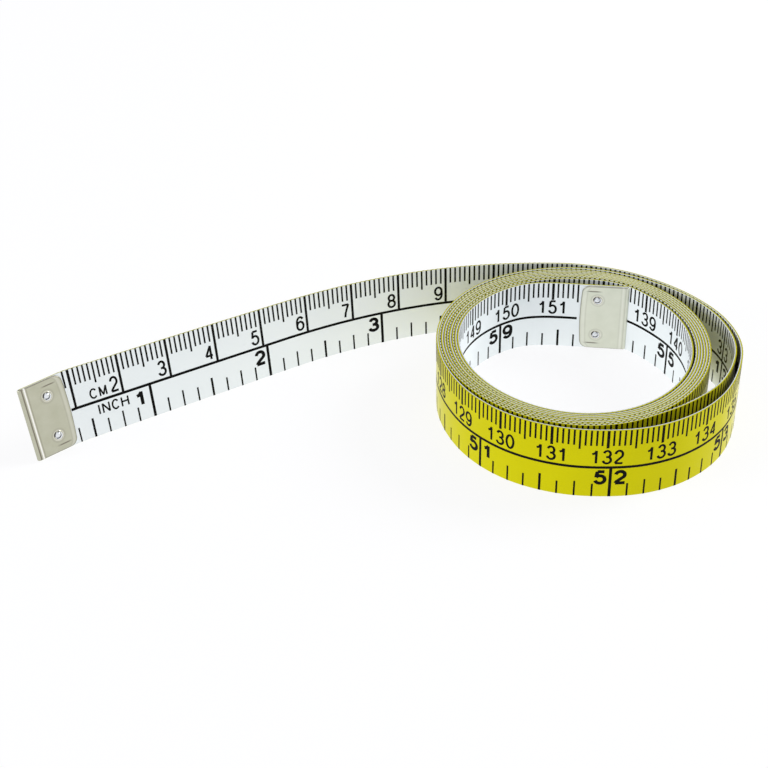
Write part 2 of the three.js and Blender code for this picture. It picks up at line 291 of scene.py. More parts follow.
def coated_cloth(name, colours, roughness, weave, gloss, haze):
    """Coated weave: the coat evens out the threads; seen along its face it takes on a pale haze."""
    material, tree = blank_material(name)
    at = add(tree, "ShaderNodeUVMap", uv_map="band_mm")
    waves = [
        add(tree, "ShaderNodeTexWave", {"Vector": at.outputs[0], "Scale": WAVE_STEP / THREAD_SPACING,
            "Distortion": 0.4, "Detail": 1.0, "Detail Scale": 1.5}, bands_direction=way)
        for way in ("X", "Y")
    ]
    threads = add(tree, "ShaderNodeMath", {0: waves[0].outputs["Fac"], 1: waves[1].outputs["Fac"]},
                  operation="MULTIPLY")
    blotches = add(tree, "ShaderNodeTexNoise", {"Vector": at.outputs[0], "Scale": 0.12, "Detail": 4.0})
    # A mix node's colours are its sockets 6 and 7, and their mix is its output 2.
    tint = add(tree, "ShaderNodeMix", {0: blotches.outputs["Fac"], 6: linear(colours[0]),
               7: linear(colours[1])}, data_type="RGBA")
    dull = add(tree, "ShaderNodeMapRange", {"Value": threads.outputs[0], "To Min": roughness + 0.04,
               "To Max": roughness - 0.04})
    bump = add(tree, "ShaderNodeBump", {"Height": threads.outputs[0], "Strength": weave,
               "Distance": WEAVE_DEPTH * MM})
    shader = add(tree, "ShaderNodeBsdfPrincipled", {"Base Color": tint.outputs[2],
                 "Roughness": dull.outputs[0], "Normal": bump.outputs[0], "IOR": 1.5,
                 "Specular IOR Level": gloss, "Sheen Weight": haze, "Sheen Roughness": 0.25})
    add(tree, "ShaderNodeOutputMaterial", {"Surface": shader.outputs[0]})
    return material


white_coat = coated_cloth("white_coated_polyester", WHITE_COAT, 0.42, 0.5, 0.2, 0.0)
yellow_coat = coated_cloth("yellow_coated_polyester", YELLOW_COAT, 0.36, 0.5, 0.04, 0.6)
bare_cloth = coated_cloth("slit_polyester_edge", BARE_CLOTH, 0.8, 1.0, 0.1, 0.0)


def finished(name, points, faces, slots, materials, maps):
    """An object from points in metres, faces with their material slots, and maps of their corners."""
    mesh = bpy.data.meshes.new(name)
    mesh.from_pydata(points.tolist(), [], faces)
    for material in materials:
        mesh.materials.append(material)
    mesh.polygons.foreach_set("material_index", np.asarray(slots, np.int32))
    for map_name, corners in maps.items():
        layer = mesh.uv_layers.new(name=map_name)
        layer.uv.foreach_set("vector", np.asarray(corners, np.float32).ravel())
    made = bpy.data.objects.new(name, mesh)
    bpy.context.scene.collection.objects.link(made)
    mesh.validate()
    return made


def cloth_length(name, start, end, station):
    """A closed strip with its own coats and bare slit edges."""
    count = int(round((end - start) / station)) + 1
    along = np.linspace(start, end, count)
    h, w = BAND_HALF, BAND_WIDTH
    core = (-h + WHITE_COAT_DEPTH, h - YELLOW_COAT_DEPTH)
    section = np.array([
        (-h, 0), (-h, w), (core[0], w), (core[1], w), (h, w), (h, 0), (core[1], 0), (core[0], 0),
    ])
    side_slots = [WHITE, WHITE, BARE, YELLOW, YELLOW, YELLOW, BARE, WHITE]
    sides = np.diff(np.vstack([section, section[:1]]), axis=0)
    round_it = np.concatenate([[0], np.cumsum(np.hypot(*sides.T))])
    k = len(section)
    points = place(along[:, None], section[None, :, 0], section[None, :, 1]).reshape(-1, 3)
    faces, slots, corners = [], [], []
    for i in range(count - 1):
        for j in range(k):
            a, b = i * k + j, i * k + (j + 1) % k
            faces.append((a, a + k, b + k, b))
            slots.append(side_slots[j])
            corners += [(along[i], round_it[j]), (along[i + 1], round_it[j]),
                        (along[i + 1], round_it[j + 1]), (along[i], round_it[j + 1])]
    for ring, turn in ((0, 1), ((count - 1) * k, -1)):
        faces.append([ring + j for j in range(k)][::turn])
        slots.append(BARE)
        corners += [(x, y) for x, y in section[::turn]]
    coats = (white_coat, yellow_coat, bare_cloth)
    return finished(name, points, faces, slots, coats, {"band_mm": corners})


def follow_band(piece, near_start, near_end, flex_from, flex_to):
    """Hangs the wound turns on the coil's body, which moves as one; other pieces only keep their place.
    """
    if near_end is None:
        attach(piece, near_start)
    else:
        flex = [tuple(place(at, 0, BAND_WIDTH / 2)) for at in (flex_from, flex_to)]
        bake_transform(piece)


cloths = {}
for name, start, end, *flexing in LENGTHS:
    station = COIL_STATION if name == "wound_turns" else FLEX_STATION
    cloths[name] = cloth_length(f"{name}_cloth", start, end, station)
    follow_band(cloths[name], *flexing)
    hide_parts(name)


# Print
# Two scales on each face, screen printed with black ink: centimetres along the top edge and inches along
# the bottom, with a line between them. The white face counts from the start tag and the yellow one from
# the end tag, so that both read from left to right.
WHITE_ZERO = 0.13
YELLOW_ZERO = BAND_LENGTH - 0.6
GATHER = 0.34
GATHER_BETWEEN = (10, 20)
SCALE_MARGIN = 9
INK_RISE = 0.016
INK_SINK = 0.01
INK = ("#060606", "#100f0d")
CENTRE_LINE = {"white": 0.464 * BAND_WIDTH, "yellow": 0.448 * BAND_WIDTH}
CENTRE_STROKE = 0.55
MM_TICK = (0.225 * BAND_WIDTH, 0.35)
FIVE_MM_TICK = (0.28 * BAND_WIDTH, 0.36)
CM_TICK = (0.26 * BAND_WIDTH, 0.52)
CM_LINE_STROKE = 0.5
FIRST_EIGHTH = 3
LAST_EIGHTH = 477
EIGHTH_TICK = (0.195 * BAND_WIDTH, 0.34)
QUARTER_TICK = (0.225 * BAND_WIDTH, 0.34)
HALF_INCH_TICK = (0.26 * BAND_WIDTH, 0.45)
INCH = 25.4
INCH_LINE_STROKE = 0.55
EDGE_WRAP = {"white": 0.12, "yellow": 0.03}
EDGE_WRAP_WAVES = (37, 91)
EDGE_WRAP_EVEN = 0.2
EDGE_WRAP_SWING = 1.3
EDGE_WRAP_LEAST = 0.01
CM_DIGIT = {"height": 3.3, "width": 1.85, "step": 2.1, "stroke": 0.45, "clear": 0.45}
INCH_DIGIT = {"height": 3.35, "width": 2.45, "step": 2.8, "stroke": 0.68, "clear": 0.35}
UNIT_WORD = {"height": 2.2, "width": 1.65, "step": 2.0, "stroke": 0.34, "clear": 0.4}
NARROW_SIGNS = {"I": 0.35}
CM_DIGIT_BESIDE = 0.35
INCH_DIGIT_BESIDE = 0.3
FIRST_INCH_BESIDE = 0.7
CM_WORD_AT = 13.2
INCH_WORD_AT = 14.2


def arc(x, y, half_width, half_height, start, stop, steps):
    a = np.radians(np.linspace(start, stop, steps + 1))
    return np.stack([x + half_width * np.cos(a), y + half_height * np.sin(a)], -1)


SIX = [
    arc(0.51, 0.32, 0.49, 0.32, 0, 360, 18),
    np.vstack([arc(0.53, 0.6, 0.51, 0.4, 36, 180, 9), [(0.02, 0.33)]]),
]
# Each sign as strokes in a box of one by one, between the middles of its outermost strokes.
SIGNS = {
    "0": [arc(0.5, 0.5, 0.5, 0.5, 90, 450, 20)],
    "1": [[(0.6, 0), (0.6, 1)], [(0.08, 0.72), (0.32, 0.76), (0.5, 0.85), (0.6, 1)]],
    "2": [
        np.vstack([arc(0.5, 0.7, 0.46, 0.3, 172, -35, 11), [(0.5, 0.33), (0.16, 0.14), (0.03, 0)]]),
        [(0.03, 0), (1, 0)],
    ],
    "3": [
        arc(0.48, 0.745, 0.42, 0.255, 165, -80, 10), arc(0.48, 0.265, 0.5, 0.265, 85, -168, 12),
        [(0.36, 0.51), (0.58, 0.51)],
    ],
    "4": [[(0.74, 0), (0.74, 1)], [(0.74, 1), (0, 0.27)], [(0, 0.27), (1, 0.27)]],
    "5": [[(0.9, 1), (0.2, 1)], [(0.2, 1), (0.1, 0.5)], arc(0.48, 0.325, 0.5, 0.325, 140, -162, 14)],
    "6": SIX,
    "7": [[(0, 1), (1, 1)], [(1, 1), (0.72, 0.66), (0.52, 0.34), (0.42, 0)]],
    "8": [arc(0.5, 0.755, 0.42, 0.245, 0, 360, 14), arc(0.5, 0.265, 0.5, 0.265, 0, 360, 16)],
    "9": [1 - np.array(stroke) for stroke in SIX],
    "C": [arc(0.5, 0.5, 0.5, 0.5, 38, 322, 14)],
    "M": [[(0, 0), (0, 1)], [(0, 1), (0.5, 0.05)], [(0.5, 0.05), (1, 1)], [(1, 1), (1, 0)]],
    "I": [[(0.5, 0), (0.5, 1)]],
    "N": [[(0, 0), (0, 1)], [(0, 1), (1, 0)], [(1, 0), (1, 1)]],
    "H": [[(0, 0), (0, 1)], [(1, 0), (1, 1)], [(0, 0.52), (1, 0.52)]],
}


def written(text, left, foot, look):
    """Strokes of a row of signs from its left edge, each with its width and its sign's middle."""
    strokes = []
    pen = look["stroke"]
    for sign in text:
        width = look["width"] * NARROW_SIGNS.get(sign, 1)
        box = np.array([width - pen, look["height"] - pen])
        corner = np.array([left + pen / 2, foot + pen / 2])
        for stroke in SIGNS[sign]:
            stroke = np.array(stroke) * box + corner
            if len(stroke) == 2 and np.ptp(stroke, axis=0).min() < 1e-9:
                cap = (stroke[1] - stroke[0]) / np.ptp(stroke) * pen / 2
                stroke = stroke + [-cap, cap]
            strokes.append((stroke, pen, corner[0] + box[0] / 2))
        left += width + look["step"] - look["width"]
    return strokes


def row_width(text, look):
    return (len(text) - 1) * look["step"] + look["width"]


def scale_strokes(side):
    """Every stroke of one face's two scales: its points (reading, up), its width and its middle."""
    strokes = []
    centre = CENTRE_LINE[side]

    def upright(reading, low, high, pen):
        strokes.append((np.array([(reading, low), (reading, high)]), pen, reading))

    for mm in range(SCALE_MARGIN, BAND_LENGTH - SCALE_MARGIN + 1):
        number = mm // 10
        if mm % 10:
            depth, pen = FIVE_MM_TICK if mm % 5 == 0 else MM_TICK
            upright(mm, BAND_WIDTH - depth, BAND_WIDTH, pen)
            continue
        text = str(number)
        foot = centre + CENTRE_STROKE / 2 + CM_DIGIT["clear"]
        if number >= 100:
            upright(mm, BAND_WIDTH - CM_TICK[0], BAND_WIDTH, CM_TICK[1])
            strokes.extend(written(text, mm - row_width(text, CM_DIGIT) / 2, foot, CM_DIGIT))
            continue
        upright(mm, centre, BAND_WIDTH, CM_LINE_STROKE)
        beside = CM_LINE_STROKE / 2 + CM_DIGIT_BESIDE
        if number >= 2:
            strokes.extend(written(text[0], mm - beside - CM_DIGIT["width"], foot, CM_DIGIT))
        if len(text) == 2:
            strokes.extend(written(text[1], mm + beside, foot, CM_DIGIT))
    for eighth in range(FIRST_EIGHTH, LAST_EIGHTH + 1):
        reading = eighth * INCH / 8
        if eighth % 8:
            short_tick = QUARTER_TICK if eighth % 2 == 0 else EIGHTH_TICK
            depth, pen = HALF_INCH_TICK if eighth % 4 == 0 else short_tick
            upright(reading, 0, depth, pen)
            continue
        upright(reading, 0, centre, INCH_LINE_STROKE)
        text = str(eighth // 8)
        foot = centre - CENTRE_STROKE / 2 - INCH_DIGIT["clear"] - INCH_DIGIT["height"]
        beside = INCH_LINE_STROKE / 2 + (FIRST_INCH_BESIDE if text == "1" else INCH_DIGIT_BESIDE)
        strokes.extend(written(text[0], reading - beside - INCH_DIGIT["width"], foot, INCH_DIGIT))
        if len(text) == 2:
            strokes.extend(written(text[1], reading + beside, foot, INCH_DIGIT))
    foot = centre + CENTRE_STROKE / 2 + UNIT_WORD["clear"]
    strokes.extend(written("CM", CM_WORD_AT, foot, UNIT_WORD))
    foot = centre - CENTRE_STROKE / 2 - UNIT_WORD["clear"] - UNIT_WORD["height"]
    strokes.extend(written("INCH", INCH_WORD_AT, foot, UNIT_WORD))
    for start in range(SCALE_MARGIN, BAND_LENGTH - SCALE_MARGIN):
        strokes.append((np.array([(start, centre), (start + 1, centre)]), CENTRE_STROKE, start + 0.5))
    return strokes


def finely(points, longest=0.4):
    """The stroke with points added, so that none of its steps is long beside the coil's curve."""
    points = np.asarray(points, float)
    made = [points[:1]]
    for a, b in zip(points[:-1], points[1:]):
        steps = max(1, int(np.ceil(abs(b[0] - a[0]) / longest)))
        made.append(a + (b - a) * np.linspace(0, 1, steps + 1)[1:, None])
    return np.vstack(made)


def stroke_sides(points, pen):
    """The two edges of a stroke of this width, mitred at its corners."""
    step = np.diff(points, axis=0)
    step = step / np.linalg.norm(step, axis=1)[:, None]
    across = np.stack([-step[:, 1], step[:, 0]], -1)
    if np.allclose(points[0], points[-1]):
        before = np.vstack([across[-1:], across])
        after = np.vstack([across, across[:1]])
    else:
        before = np.vstack([across[:1], across])
        after = np.vstack([across, across[-1:]])
    mean = before + after
    mean = mean / np.maximum((mean * before).sum(1), 0.5)[:, None]
    return points + mean * pen / 2, points - mean * pen / 2


def printed_ink(name):
    """Matt ink, near black and a little thinner in places, which stands slightly proud of the coat."""
    material, tree = blank_material(name)
    at = add(tree, "ShaderNodeUVMap", uv_map="band_mm")
    density = add(tree, "ShaderNodeTexNoise", {"Vector": at.outputs[0], "Scale": 0.8, "Detail": 2.0})
    tint = add(tree, "ShaderNodeMix", {0: density.outputs["Fac"], 6: linear(INK[0]), 7: linear(INK[1])},
               data_type="RGBA")
    shader = add(tree, "ShaderNodeBsdfPrincipled", {"Base Color": tint.outputs[2], "Roughness": 0.45,
                 "IOR": 1.5, "Specular IOR Level": 0.06})
    add(tree, "ShaderNodeOutputMaterial", {"Surface": shader.outputs[0]})
    return material


black_ink = printed_ink("screen_printed_black_ink")


def ink_marks(name, scales, start, end):
    """All of the print whose middle lies between two places on the band, as thin slabs on its faces."""
    points, faces, corners = [], [], []

    def slab(rings):
        """A closed slab through rings of four places each: (along, out, up)."""
        first = len(points)
        for ring in rings:
            points.extend(ring)
        for i in range(len(rings) - 1):
            for j in range(4):
                a, b = first + i * 4 + j, first + i * 4 + (j + 1) % 4
                faces.append((a, b, b + 4, a + 4))
        faces.append((first + 3, first + 2, first + 1, first))
        last = len(points) - 4
        faces.append((last, last + 1, last + 2, last + 3))

    for side, strokes in scales.items():
        sign = -1 if side == "white" else 1
        high, low = sign * (BAND_HALF + INK_RISE), sign * (BAND_HALF - INK_SINK)
        for stroke, pen, middle in strokes:
            at = middle if side == "white" else YELLOW_ZERO - middle
            if not start <= at + WHITE_ZERO < end:
                continue
            edges = stroke_sides(finely(stroke), pen)
            if side == "yellow":
                edges = [edge * (-1, 1) + (YELLOW_ZERO, 0) for edge in edges]
            slab([
                [(l[0], high, l[1]), (r[0], high, r[1]), (r[0], low, r[1]), (l[0], low, l[1])]
                for l, r in zip(*edges)
            ])
            # The ink wraps a little over the top edge, more in some stretches than in others.
            waves = np.sin(at / EDGE_WRAP_WAVES[0]) * np.sin(at / EDGE_WRAP_WAVES[1] + 1)
            wrap = EDGE_WRAP[side] * eased(EDGE_WRAP_EVEN + EDGE_WRAP_SWING * waves)
            if stroke[-1][1] == BAND_WIDTH and wrap > EDGE_WRAP_LEAST:
                inner = sign * (BAND_HALF - wrap)
                rise, sink = BAND_WIDTH + INK_RISE, BAND_WIDTH - INK_SINK
                slab([
                    [(at - pen / 2, out, rise), (at + pen / 2, out, rise),
                     (at + pen / 2, out, sink), (at - pen / 2, out, sink)]
                    for out in (high, inner)
                ])
    spots = np.array(points, float)
    # The cloth has gathered a little beside the start tag's grip.
    spots[:, 0] += WHITE_ZERO + GATHER * (1 - rising(spots[:, 0], GATHER_BETWEEN))
    for face in faces:
        corners += [(spots[i, 0], spots[i, 2]) for i in face]
    slots = np.zeros(len(faces))
    return finished(name, place(*spots.T), faces, slots, (black_ink,), {"band_mm": corners})


both_scales = {side: scale_strokes(side) for side in CENTRE_LINE}
for name, start, end, *flexing in LENGTHS:
    marks = ink_marks(f"{name}_print", both_scales, start, end)
    follow_band(marks, *flexing)


# Tags
# Each end is clasped by a strip of thin sheet steel, nickel plated, folded over the band and pressed
# flat. The free edge is bowed, with round corners and a pressed rim; the fold keeps a raised bead.
TAG_HEIGHT = 14.9
TAG_CORNER = 1.5
TAG_BOW = 0.35
TAG_RISE = 0.2
TAG_RIM = 0.16
BEAD_AT = 0.8
BEAD_RISE = 0.1
BEAD_HALF = 0.25
BEAD_END = 0.1
FOLD_END_SHARE = 0.5
RIVET_STEP = 8.3
PRESSED_LINE_AT = 1.25
PRESSED_LINE_FROM = -1.0
PRESSED_LINE_TO = 2.7
PRESSED_LINE_END = 0.4
PRESSED_LINE_HALF = 0.12
PRESSED_DEPTH = 0.1
ROW_STEP = 0.3
RIM_STEPS = (0.03, 0.08, TAG_RIM)
# Where each tag's fold lies along the band, the way in from it, and its own sizes. The end tag is a
# little the longer of the two, with its rivets further from the fold and a flatter bead.
TAGS = {
    "start": {"fold": BAND_FROM - 0.1, "towards": 1, "length": START_TAG_LENGTH, "rivets": 4.85,
              "bead": 1.0, "foot": 0.07, "metal": ("#b0b09b", "#c3c3b2")},
    "end": {"fold": band_end, "towards": -1, "length": END_TAG_LENGTH, "rivets": 5.8,
            "bead": 0.25, "foot": 0.02, "metal": ("#cfd3c2", "#dee1d2")},
}
# Colours of the painted shade in the tag's grooves and of the painted highlights on its ridges.
TAG_PAINTED_SHADE = "#6b6258"
TAG_PAINTED_HIGHLIGHT = "#f6f4f0"


def soft_lines(tree, lines):
    """Soft lines, each where a coordinate in mm has a value; where they meet, the strongest shows."""
    most = 0.0
    for coordinate, at, half, strength in lines:
        off = add(tree, "ShaderNodeMath", {0: coordinate, 1: at}, operation="SUBTRACT")
        off = add(tree, "ShaderNodeMath", {0: off.outputs[0]}, operation="ABSOLUTE")
        line = add(tree, "ShaderNodeMapRange", {"Value": off.outputs[0], "From Min": half * 0.3,
                   "From Max": half, "To Min": strength, "To Max": 0.0}, interpolation_type="SMOOTHSTEP")
        most = add(tree, "ShaderNodeMath", {0: most, 1: line.outputs[0]}, operation="MAXIMUM").outputs[0]
    return most


def plated_steel(name, tag, roughness):
    """Dull nickel on rolled steel; painted shade in its grooves, painted highlights on its ridges."""
    material, tree = blank_material(name)
    at = add(tree, "ShaderNodeUVMap", uv_map="tag_mm")
    stains = add(tree, "ShaderNodeTexNoise", {"Vector": at.outputs[0], "Scale": 0.45, "Detail": 4.0})
    tint = add(tree, "ShaderNodeMix", {0: stains.outputs["Fac"], 6: linear(tag["metal"][0]),
               7: linear(tag["metal"][1])}, data_type="RGBA")
    apart = add(tree, "ShaderNodeSeparateXYZ", {0: at.outputs[0]})
    from_fold, up = apart.outputs[0], apart.outputs[1]
    rims = add(tree, "ShaderNodeUVMap", uv_map="rim_mm")
    rims = add(tree, "ShaderNodeSeparateXYZ", {0: rims.outputs[0]})
    from_rim, from_free_edge = rims.outputs[0], rims.outputs[1]
    from_rivet = [
        add(tree, "ShaderNodeVectorMath", {0: at.outputs[0], 1: (tag["rivets"], TAG_HEIGHT / 2 + off, 0)},
            operation="DISTANCE").outputs["Value"]
        for off in (RIVET_STEP / 2, -RIVET_STEP / 2)
    ]
    from_rivets = add(tree, "ShaderNodeMath", {0: from_rivet[0], 1: from_rivet[1]},
                      operation="MINIMUM").outputs[0]
    line_middle = tag["rivets"] + (PRESSED_LINE_FROM + PRESSED_LINE_TO) / 2
    line_half = (PRESSED_LINE_TO - PRESSED_LINE_FROM) / 2
    # The two pressed lines beside the rivets, which get painted shade as well.
    line_rows = soft_lines(tree, [
        (up, PRESSED_LINE_AT, 0.2, 1.0), (up, TAG_HEIGHT - PRESSED_LINE_AT, 0.2, 1.0),
    ])
    line_reach = soft_lines(tree, [(from_fold, line_middle, line_half, 0.75)])
    pressed = add(tree, "ShaderNodeMath", {0: line_rows, 1: line_reach}, operation="MULTIPLY")
    bead = tag["bead"]
    # Painted shade: dark lines on both sides of the bead, along the pressed rim, inside the free edge,
    # round the rivets and in the pressed lines.
    crease_shade = soft_lines(tree, [
        (from_fold, 0.3, 0.2, 0.8 * bead), (from_fold, 1.2, 0.18, 0.35 * bead),
        (from_rim, 0.05, 0.22, 0.55), (from_free_edge, 1.15, 0.2, 0.12), (from_rivets, 1.3, 0.3, 0.15),
    ])
    crease_shade = add(tree, "ShaderNodeMath", {0: crease_shade, 1: pressed.outputs[0]}, operation="MAXIMUM")
    # Painted highlights: pale lines on the crest of the bead, on the bevel near the free edge and round
    # the rivets.
    painted_highlight = soft_lines(tree, [
        (from_fold, BEAD_AT, 0.24, 0.95 * bead), (from_free_edge, 0.7, 0.4, 0.16),
        (from_rivets, 1.0, 0.2, 0.35),
    ])
    for share, colour in ((crease_shade.outputs[0], TAG_PAINTED_SHADE), (painted_highlight, TAG_PAINTED_HIGHLIGHT)):
        tint = add(tree, "ShaderNodeMix", {0: share, 6: tint.outputs[2], 7: linear(colour)},
                   data_type="RGBA")
    stretch = add(tree, "ShaderNodeMapping", {"Vector": at.outputs[0], "Scale": (1.0, 9.0, 1.0)})
    rolling = add(tree, "ShaderNodeTexNoise", {"Vector": stretch.outputs[0], "Scale": 1.2, "Detail": 3.0})
    dull = add(tree, "ShaderNodeMapRange", {"Value": rolling.outputs["Fac"], "To Min": roughness - 0.06,
               "To Max": roughness + 0.1})
    bump = add(tree, "ShaderNodeBump", {"Height": rolling.outputs["Fac"], "Strength": 0.25,
               "Distance": 0.01 * MM})
    shader = add(tree, "ShaderNodeBsdfPrincipled", {"Base Color": tint.outputs[2], "Metallic": 1.0,
                 "Roughness": dull.outputs[0], "Normal": bump.outputs[0]})
    add(tree, "ShaderNodeOutputMaterial", {"Surface": shader.outputs[0]})
    return material


def tag_reach(length, up):
    """How far a tag reaches from the fold at each height: bowed, with round corners."""
    bow = TAG_BOW * (1 - (2 * up / TAG_HEIGHT - 1) ** 2)
    from_end = np.minimum(up, TAG_HEIGHT - up)
    short = np.clip(TAG_CORNER - from_end, 0, None)
    rounding = TAG_CORNER - np.sqrt(np.maximum(TAG_CORNER ** 2 - short ** 2, 0))
    return length - TAG_BOW + bow - rounding


def clasp(name, tag, metal):
    """The folded strip, in columns of points from one free edge round the fold to the other."""
    corner = TAG_CORNER * (1 - np.cos(np.radians(np.arange(0, 91, 9))))
    near_edge = np.array([*RIM_STEPS, ROW_STEP, *corner])
    rows = np.linspace(0, TAG_HEIGHT, int(TAG_HEIGHT / ROW_STEP) + 1)
    rows = np.unique(np.round(np.concatenate([rows, near_edge, TAG_HEIGHT - near_edge]), 4))
    reach = tag_reach(tag["length"], rows)
    share = np.linspace(0, 1, 26)
    inset = np.array([*RIM_STEPS[::-1], 0])
    from_fold = np.stack([np.concatenate([share * (r - ROW_STEP), r - inset]) for r in reach])
    up = np.broadcast_to(rows[:, None], from_fold.shape)
    # How far each point lies from the outline, because the rim is pressed down along all of it.
    outline = np.vstack([[(0, 0)], np.stack([reach, rows], -1), [(0, TAG_HEIGHT)]])
    start, step = outline[:-1], np.diff(outline, axis=0)
    at = np.stack([from_fold, up], -1)[..., None, :]
    t = np.clip(((at - start) * step).sum(-1) / np.maximum((step ** 2).sum(-1), 1e-9), 0, 1)
    away = np.linalg.norm(at - start - t[..., None] * step, axis=-1).min(-1)
    rise = TAG_RISE * np.sqrt(np.clip(1 - (1 - np.clip(away / TAG_RIM, 0, 1)) ** 2, 0, 1))
    bead = np.exp(-((from_fold - BEAD_AT) / BEAD_HALF) ** 2) * np.clip(away / BEAD_END, 0, 1)
    rise = rise + tag["bead"] * BEAD_RISE * bead
    # The two short lines that the press leaves beside the rivets.
    for line_up in (PRESSED_LINE_AT, TAG_HEIGHT - PRESSED_LINE_AT):
        past_rivet = from_fold - tag["rivets"]
        within = eased((past_rivet - PRESSED_LINE_FROM) / PRESSED_LINE_END)
        within = within * eased((PRESSED_LINE_TO - past_rivet) / PRESSED_LINE_END)
        rise = rise - PRESSED_DEPTH * within * np.exp(-((up - line_up) / PRESSED_LINE_HALF) ** 2)
    out = BAND_HALF + rise
    # Round the fold, from one face to the other.
    bend = np.radians(np.linspace(90, -90, 13)[1:-1])
    fold_out = (BAND_HALF + TAG_RISE) * np.sin(bend)
    fold_back = -(BAND_HALF + TAG_RISE) * np.cos(bend)
    columns = [(from_fold[:, i], out[:, i]) for i in range(from_fold.shape[1])][::-1]
    squeeze = np.clip(np.minimum(rows, TAG_HEIGHT - rows) / TAG_RIM, 0, 1)
    squeeze = FOLD_END_SHARE + (1 - FOLD_END_SHARE) * squeeze
    columns += [(b * squeeze, o * squeeze) for o, b in zip(fold_out, fold_back)]
    columns += [(from_fold[:, i], -out[:, i]) for i in range(from_fold.shape[1])]
    reach_at = np.stack([c[0] for c in columns])
    out_at = np.stack([c[1] for c in columns])
    up_at = np.broadcast_to(rows, reach_at.shape)
    along = tag["fold"] + tag["towards"] * reach_at
    points = place(along, out_at, up_at + tag["foot"])
    n, m = reach_at.shape
    faces = [
        (i * m + j, i * m + j + 1, (i + 1) * m + j + 1, (i + 1) * m + j)[::tag["towards"]]
        for i in range(n - 1) for j in range(m - 1)
    ]
    away_at = np.vstack([away.T[::-1], np.ones((len(bend), len(rows))), away.T])
    free_at = reach - reach_at
    corners = [(reach_at.flat[i], up_at.flat[i]) for face in faces for i in face]
    rims = [(away_at.flat[i], free_at.flat[i]) for face in faces for i in face]
    made = finished(name, points.reshape(-1, 3), faces, np.zeros(len(faces)), (metal,),
                    {"tag_mm": corners, "rim_mm": rims})
    made.data.shade_smooth()
    return made


for end_name, body in (("start", "lead_tip"), ("end", "coil")):
    tag = TAGS[end_name]
    metal = plated_steel(f"dull_nickel_plated_steel_{end_name}", tag, 0.34)
    plate = clasp(f"{end_name}_tag_plate", tag, metal)
    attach(plate, body)
    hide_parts(f"{end_name}_tag")


# Rivets
# Two small rivets hold each tag. Their heads are alike on both faces: a bright crown in a shallow hollow,
# with a low rolled rim round it.
# Each step of a head's profile: how far from the middle, and how far above the tag.
RIVET_PROFILE = [
    (0.98, 0.0), (0.96, 0.05), (0.86, 0.1), (0.72, 0.1), (0.6, 0.05), (0.56, 0.06), (0.48, 0.14),
    (0.34, 0.2), (0.16, 0.22), (0.0, 0.225),
]
RIVET_SINK = 0.01
RIVET_BACK_SINK = 0.03
RIVET_METAL = ("#d4d8dd", "#eef1f4")
RIVET_STAIN = "#c9c6ae"
# The colour of the painted shade in the rivet's hollow.
RIVET_PAINTED_SHADE = "#2e2c30"


def bright_nickel(name):
    """Polished nickel, bright on the crown, with painted shade in the hollow that the rolled rim leaves.
    """
    material, tree = blank_material(name)
    at = add(tree, "ShaderNodeUVMap", uv_map="rivet_mm")
    marks = add(tree, "ShaderNodeTexNoise", {"Vector": at.outputs[0], "Scale": 3.0, "Detail": 3.0})
    tint = add(tree, "ShaderNodeMix", {0: marks.outputs["Fac"], 6: linear(RIVET_METAL[0]),
               7: linear(RIVET_METAL[1])}, data_type="RGBA")
    from_middle = add(tree, "ShaderNodeVectorMath", {0: at.outputs[0]}, operation="LENGTH")
    rim = soft_lines(tree, [(from_middle.outputs["Value"], 0.95, 0.2, 1.0)])
    # Painted shade: a dark ring in the hollow, set off the middle so that one side is darker, and broken
    # into patches.
    lopsided = add(tree, "ShaderNodeVectorMath", {0: at.outputs[0], 1: (-0.16, 0.14, 0)},
                   operation="DISTANCE")
    ring = soft_lines(tree, [(lopsided.outputs["Value"], 0.62, 0.24, 0.95)])
    patches = add(tree, "ShaderNodeTexNoise", {"Vector": at.outputs[0], "Scale": 1.3, "Detail": 1.0})
    patches = add(tree, "ShaderNodeMapRange", {"Value": patches.outputs["Fac"], "From Min": 0.42,
                  "From Max": 0.56, "To Min": 0.3, "To Max": 1.0})
    hollow_shade = add(tree, "ShaderNodeMath", {0: ring, 1: patches.outputs[0]}, operation="MULTIPLY").outputs[0]
    for share, colour in ((rim, RIVET_STAIN), (hollow_shade, RIVET_PAINTED_SHADE)):
        tint = add(tree, "ShaderNodeMix", {0: share, 6: tint.outputs[2], 7: linear(colour)},
                   data_type="RGBA")
    dull = add(tree, "ShaderNodeMapRange", {"Value": marks.outputs["Fac"], "To Min": 0.12,
               "To Max": 0.26})
    shader = add(tree, "ShaderNodeBsdfPrincipled", {"Base Color": tint.outputs[2], "Metallic": 1.0,
                 "Roughness": dull.outputs[0]})
    add(tree, "ShaderNodeOutputMaterial", {"Surface": shader.outputs[0]})
    return material


rivet_metal = bright_nickel("polished_nickel_rivet")


